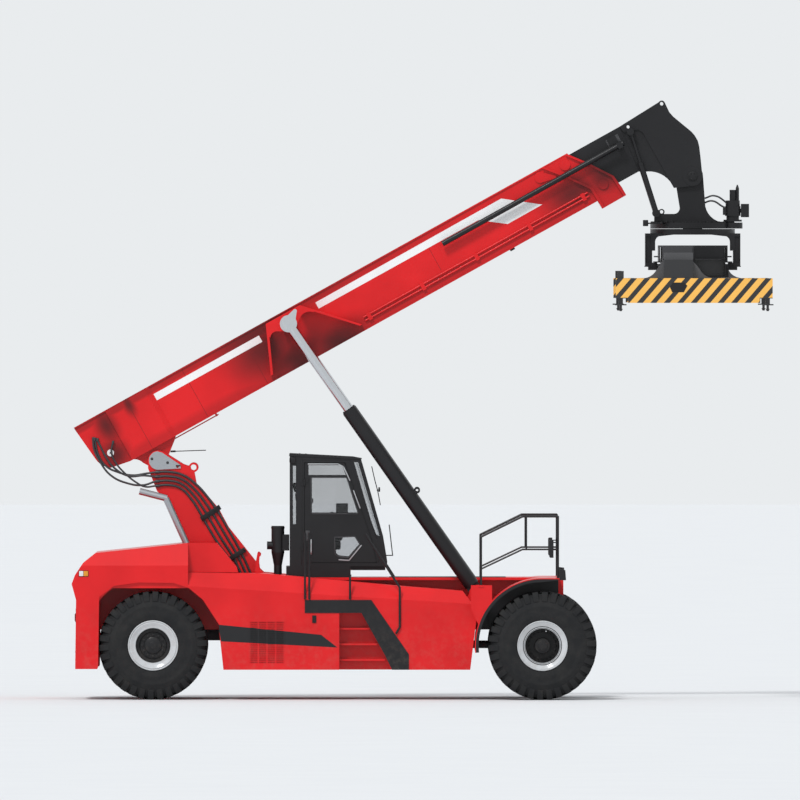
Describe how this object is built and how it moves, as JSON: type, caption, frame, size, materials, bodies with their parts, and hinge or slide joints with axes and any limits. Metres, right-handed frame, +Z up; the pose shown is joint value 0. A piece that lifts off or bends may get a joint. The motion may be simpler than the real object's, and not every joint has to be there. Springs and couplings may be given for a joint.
{
  "type": "container reach stacker",
  "caption": "Mobile port machine with a telescopic boom, a cab amidships and a rotating, extending container spreader.",
  "frame": {"origin": "on the ground, under the middle of the machine's bounding box", "axes": "+X ahead along the machine, +Y to its left, +Z up"},
  "size_m": [10.8014, 6.052, 9.2417],
  "materials": {
    "red_paint": "glossy enamel on steel plate",
    "black_paint": "satin enamel on steel plate",
    "cast_iron": "painted casting",
    "steel": "brushed",
    "chrome": "hard chromed rod",
    "rim_paint": "silver enamel on rolled steel",
    "tyre": "moulded rubber",
    "hose": "hydraulic hose rubber",
    "glass": "tinted safety glass",
    "seat": "moulded and upholstered",
    "hazard_paint": "yellow and black enamel bands"
  },
  "bodies": {
    "chassis": {"frame": "red_paint", "deck": "red_paint", "counterweight": "red_paint", "side_bodies": "red_paint", "hood": "red_paint", "grilles": "red_paint", "tower": "red_paint", "tower_plates": "red_paint", "tower_hoses": "hose", "pins": "steel", "drive_axle": "cast_iron", "steer_axle": "cast_iron", "engine": "cast_iron", "fenders": "red_paint", "steps": "black_paint", "railings": "black_paint", "exhaust": "steel", "air_cleaner": "black_paint", "cab_shell": "black_paint", "cab_glass": "glass", "cab_seat": "seat", "lamps": "black_paint"},
    "cab_door_left": {"cab_door_left": "black_paint", "door_glass_left": "glass"},
    "cab_door_right": {"cab_door_right": "black_paint", "door_glass_right": "glass"},
    "knuckle_left": {"knuckle_left": "cast_iron"},
    "knuckle_right": {"knuckle_right": "cast_iron"},
    "steer_wheel_left": {"steer_tyre_left": "tyre", "steer_rim_left": "rim_paint"},
    "steer_wheel_right": {"steer_tyre_right": "tyre", "steer_rim_right": "rim_paint"},
    "drive_wheels_left": {"drive_tyres_left": "tyre", "drive_rims_left": "rim_paint"},
    "drive_wheels_right": {"drive_tyres_right": "tyre", "drive_rims_right": "rim_paint"},
    "outer_boom": {"outer_boom": "red_paint", "boom_collar": "red_paint", "boom_brackets": "red_paint", "boom_pipes": "red_paint"},
    "inner_boom": {"inner_boom": "black_paint", "boom_nose": "black_paint", "hose_tube": "black_paint"},
    "lift_barrel_left": {"lift_barrel_left": "black_paint"},
    "lift_barrel_right": {"lift_barrel_right": "black_paint"},
    "lift_rod_left": {"lift_rod_left": "chrome"},
    "lift_rod_right": {"lift_rod_right": "chrome"},
    "yoke": {"yoke": "black_paint", "slew_motors": "black_paint"},
    "damper_barrel_left": {"damper_barrel_left": "black_paint"},
    "damper_barrel_right": {"damper_barrel_right": "black_paint"},
    "damper_rod_left": {"damper_rod_left": "black_paint"},
    "damper_rod_right": {"damper_rod_right": "black_paint"},
    "turntable": {"turntable": "black_paint"},
    "spreader_frame": {"spreader_frame": "black_paint"},
    "spreader_arm_left": {"spreader_arm_left": "hazard_paint"},
    "spreader_arm_right": {"spreader_arm_right": "hazard_paint"}
  },
  "joints": [
    {"name": "drive_left", "type": "hinge", "parent": "chassis", "child": "drive_wheels_left", "pos_m": [1.861, 1.22, 0.836], "axis": [0, 1, 0], "continuous": true},
    {"name": "steer_left", "type": "hinge", "parent": "chassis", "child": "knuckle_left", "pos_m": [-4.139, 1, 0.836], "axis": [0, 0, 1], "range_deg": [-45, 45]},
    {"name": "roll_left", "type": "hinge", "parent": "knuckle_left", "child": "steer_wheel_left", "pos_m": [-4.139, 1.393, 0.836], "axis": [0, 1, 0], "continuous": true},
    {"name": "door_left", "type": "hinge", "parent": "chassis", "child": "cab_door_left", "pos_m": [-1.808, 0.756, 2.8], "axis": [0, 0, 1], "range_deg": [0, 75]},
    {"name": "drive_right", "type": "hinge", "parent": "chassis", "child": "drive_wheels_right", "pos_m": [1.861, -1.22, 0.836], "axis": [0, 1, 0], "continuous": true},
    {"name": "steer_right", "type": "hinge", "parent": "chassis", "child": "knuckle_right", "pos_m": [-4.139, -1, 0.836], "axis": [0, 0, 1], "range_deg": [-45, 45]},
    {"name": "roll_right", "type": "hinge", "parent": "knuckle_right", "child": "steer_wheel_right", "pos_m": [-4.139, -1.393, 0.836], "axis": [0, 1, 0], "continuous": true},
    {"name": "door_right", "type": "hinge", "parent": "chassis", "child": "cab_door_right", "pos_m": [-1.808, -0.756, 2.8], "axis": [0, 0, -1], "range_deg": [0, 75]},
    {"name": "boom_lift", "type": "hinge", "parent": "chassis", "child": "outer_boom", "pos_m": [-4.07, 0, 3.68], "axis": [0, 1, 0], "range_deg": [-31, 29]},
    {"name": "boom_extend", "type": "slide", "parent": "outer_boom", "child": "inner_boom", "axis": [0.8738, 0, 0.4863], "range_m": [0, 6]},
    {"name": "head_tilt", "type": "hinge", "parent": "inner_boom", "child": "yoke", "pos_m": [4.18993, 0, 8.07142], "axis": [0, 1, 0], "range_deg": [-29, 31]},
    {"name": "slew", "type": "hinge", "parent": "yoke", "child": "turntable", "pos_m": [4.18993, 0, 7.25742], "axis": [0, 0, 1], "range_deg": [-195, 105]},
    {"name": "sideshift", "type": "slide", "parent": "turntable", "child": "spreader_frame", "axis": [0, 1, 0], "range_m": [-0.8, 0.8]},
    {"name": "arm_left", "type": "slide", "parent": "spreader_frame", "child": "spreader_arm_left", "axis": [0, 1, 0], "range_m": [0, 3.05]},
    {"name": "arm_right", "type": "slide", "parent": "spreader_frame", "child": "spreader_arm_right", "axis": [0, -1, 0], "range_m": [0, 3.05]},
    {"name": "lift_swing_left", "type": "hinge", "parent": "chassis", "child": "lift_barrel_left", "pos_m": [0.869, 0.92, 1.63], "axis": [0, 1, 0], "range_deg": [-4, 4]},
    {"name": "lift_stroke_left", "type": "slide", "parent": "lift_barrel_left", "child": "lift_rod_left", "axis": [-0.5746, 0, 0.8184], "range_m": [-1.4, 1.5]},
    {"name": "damper_swing_left", "type": "hinge", "parent": "yoke", "child": "damper_barrel_left", "pos_m": [3.62693, 0.39, 7.50142], "axis": [0, 1, 0], "range_deg": [-23.5, 22]},
    {"name": "damper_stroke_left", "type": "slide", "parent": "damper_barrel_left", "child": "damper_rod_left", "axis": [-0.3032, 0, 0.9529], "range_m": [-0.385, 0.36]},
    {"name": "lift_swing_right", "type": "hinge", "parent": "chassis", "child": "lift_barrel_right", "pos_m": [0.869, -0.92, 1.63], "axis": [0, 1, 0], "range_deg": [-4, 4]},
    {"name": "lift_stroke_right", "type": "slide", "parent": "lift_barrel_right", "child": "lift_rod_right", "axis": [-0.5746, 0, 0.8184], "range_m": [-1.4, 1.5]},
    {"name": "damper_swing_right", "type": "hinge", "parent": "yoke", "child": "damper_barrel_right", "pos_m": [3.62693, -0.39, 7.50142], "axis": [0, 1, 0], "range_deg": [-23.5, 22]},
    {"name": "damper_stroke_right", "type": "slide", "parent": "damper_barrel_right", "child": "damper_rod_right", "axis": [-0.3032, 0, 0.9529], "range_m": [-0.385, 0.36]}
  ],
  "couplings": [
    {"joint": "head_tilt", "follows": "boom_lift", "ratio": -1},
    {"joint": "steer_right", "follows": "steer_left", "ratio": 1},
    {"joint": "arm_right", "follows": "arm_left", "ratio": 1},
    {"joint": "lift_swing_left", "follows": "boom_lift", "ratio": 0.12},
    {"joint": "lift_stroke_left", "follows": "boom_lift", "m_per_rad": -2.76},
    {"joint": "damper_swing_left", "follows": "boom_lift", "ratio": 0.74},
    {"joint": "damper_stroke_left", "follows": "boom_lift", "m_per_rad": 0.7},
    {"joint": "lift_swing_right", "follows": "boom_lift", "ratio": 0.12},
    {"joint": "lift_stroke_right", "follows": "boom_lift", "m_per_rad": -2.76},
    {"joint": "damper_swing_right", "follows": "boom_lift", "ratio": 0.74},
    {"joint": "damper_stroke_right", "follows": "boom_lift", "m_per_rad": 0.7}
  ]
}
